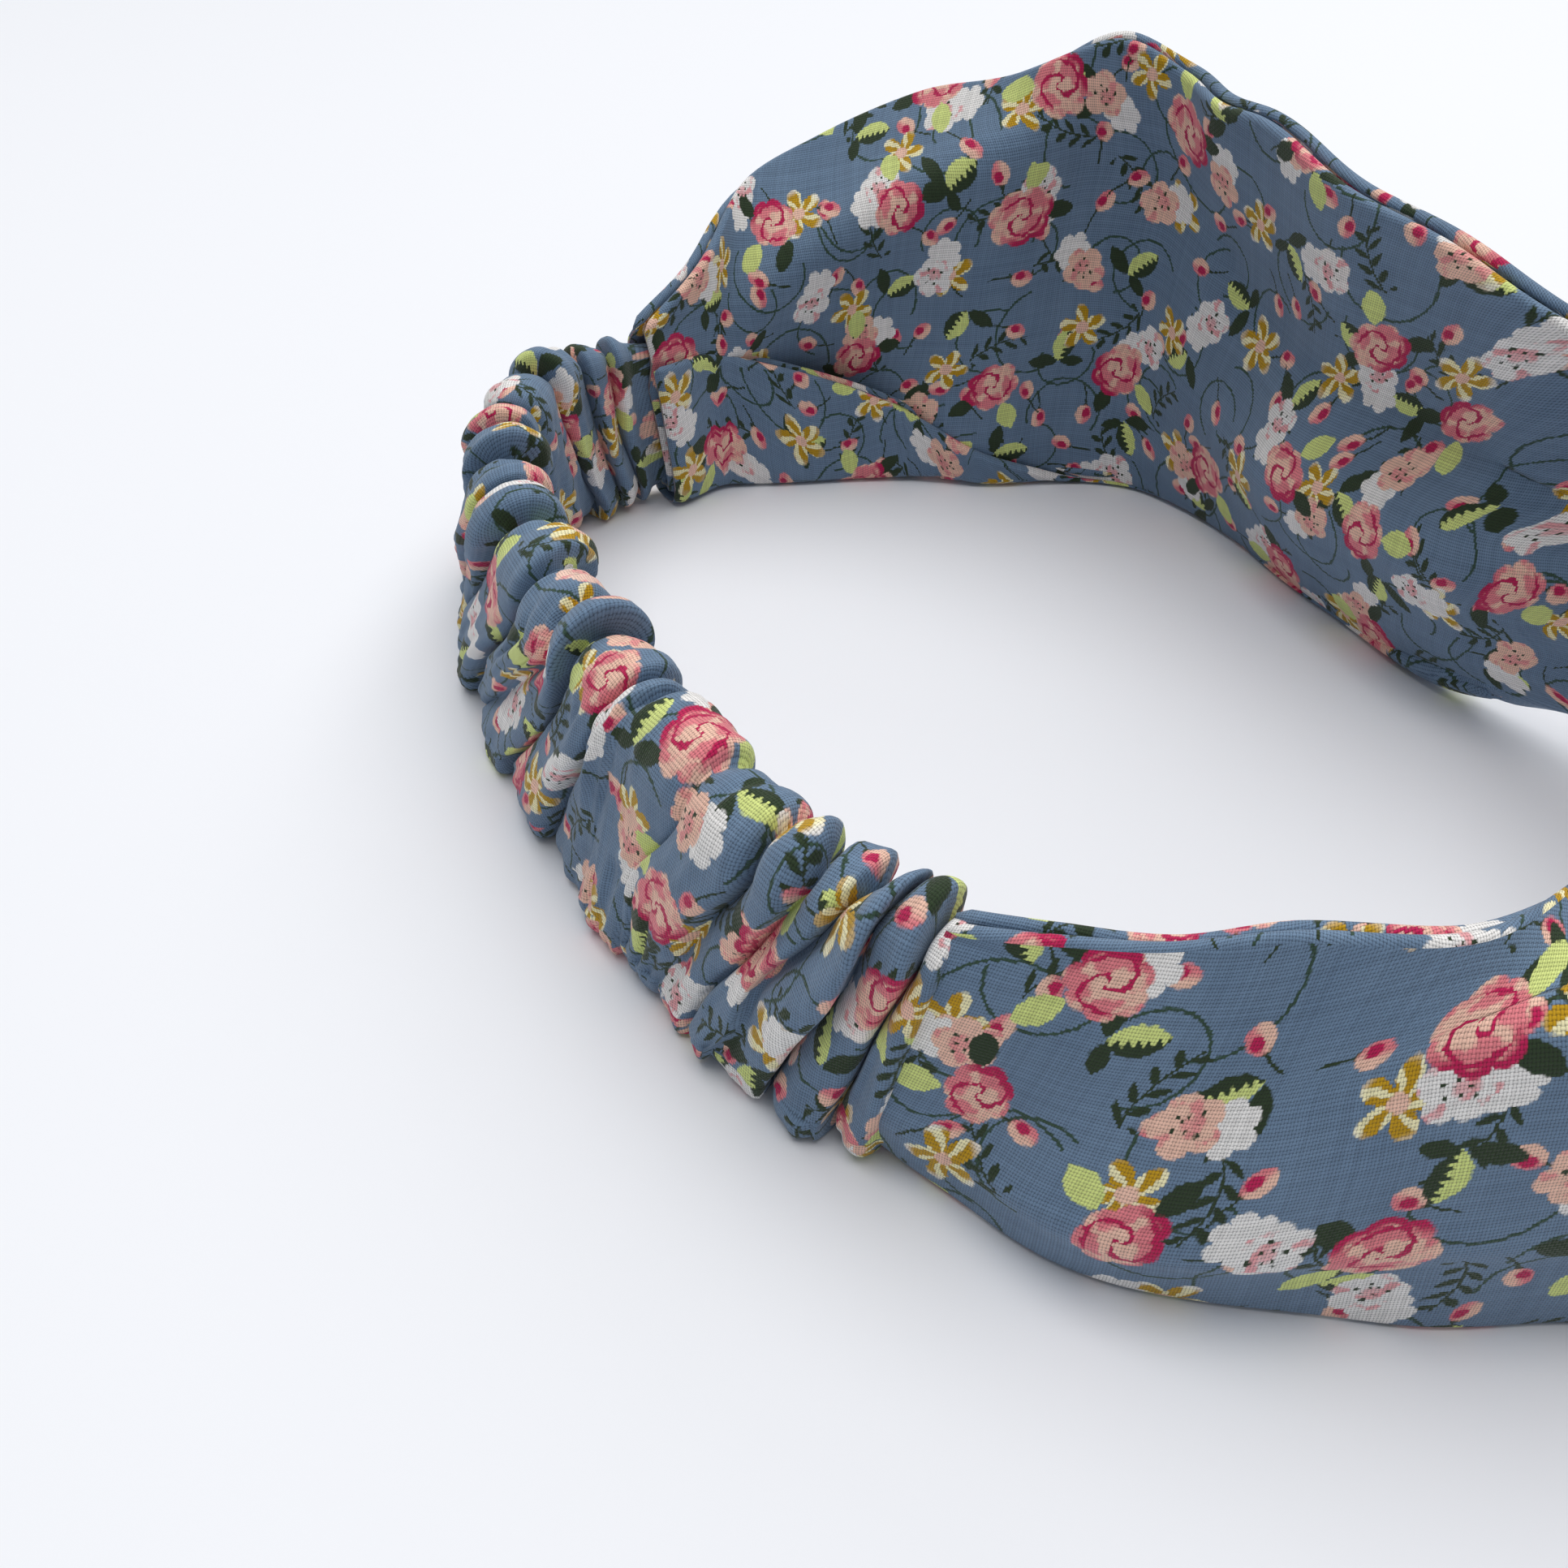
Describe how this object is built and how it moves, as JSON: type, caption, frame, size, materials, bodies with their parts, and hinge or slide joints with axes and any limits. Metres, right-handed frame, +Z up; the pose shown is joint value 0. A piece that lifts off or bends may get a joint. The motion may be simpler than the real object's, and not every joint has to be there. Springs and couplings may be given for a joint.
{
  "type": "knotted headband",
  "caption": "Soft cotton turban headband: a closed loop with an interlocked knot at the front and a ruched elastic casing at the back.",
  "frame": {"origin": "centre of the bounding box on the surface the loop stands on", "axes": "+Z up, the loop standing on its edge; -Y to the front knot, +Y to the ruched elastic back; -X the near wrap, +X the far wrap"},
  "size_m": [0.1506, 0.169, 0.0612],
  "materials": {
    "printed_cotton": "plain-weave cotton, dusty blue with a small scattered flower print",
    "knitted_elastic": "white knitted elastic",
    "sewing_thread": "spun polyester thread, blue"
  },
  "bodies": {
    "band": {"near_wrap": "printed_cotton", "far_wrap": "printed_cotton", "near_knot_loop": "printed_cotton", "far_knot_loop": "printed_cotton", "near_join_stitching": "sewing_thread", "far_join_stitching": "sewing_thread", "near_elastic_tack": "sewing_thread", "far_elastic_tack": "sewing_thread", "near_wrap_seam": "sewing_thread", "far_wrap_seam": "sewing_thread"},
    "elastic_back": {"elastic_casing": "printed_cotton", "elastic": "knitted_elastic", "casing_seam": "sewing_thread"}
  },
  "joints": [
    {"name": "elastic_stretch", "type": "slide", "parent": "band", "child": "elastic_back", "axis": [0, 1, 0], "range_m": [0, 0.04], "stiffness_N_per_m": 60, "deforming": ["elastic_casing", "elastic", "casing_seam"]}
  ]
}
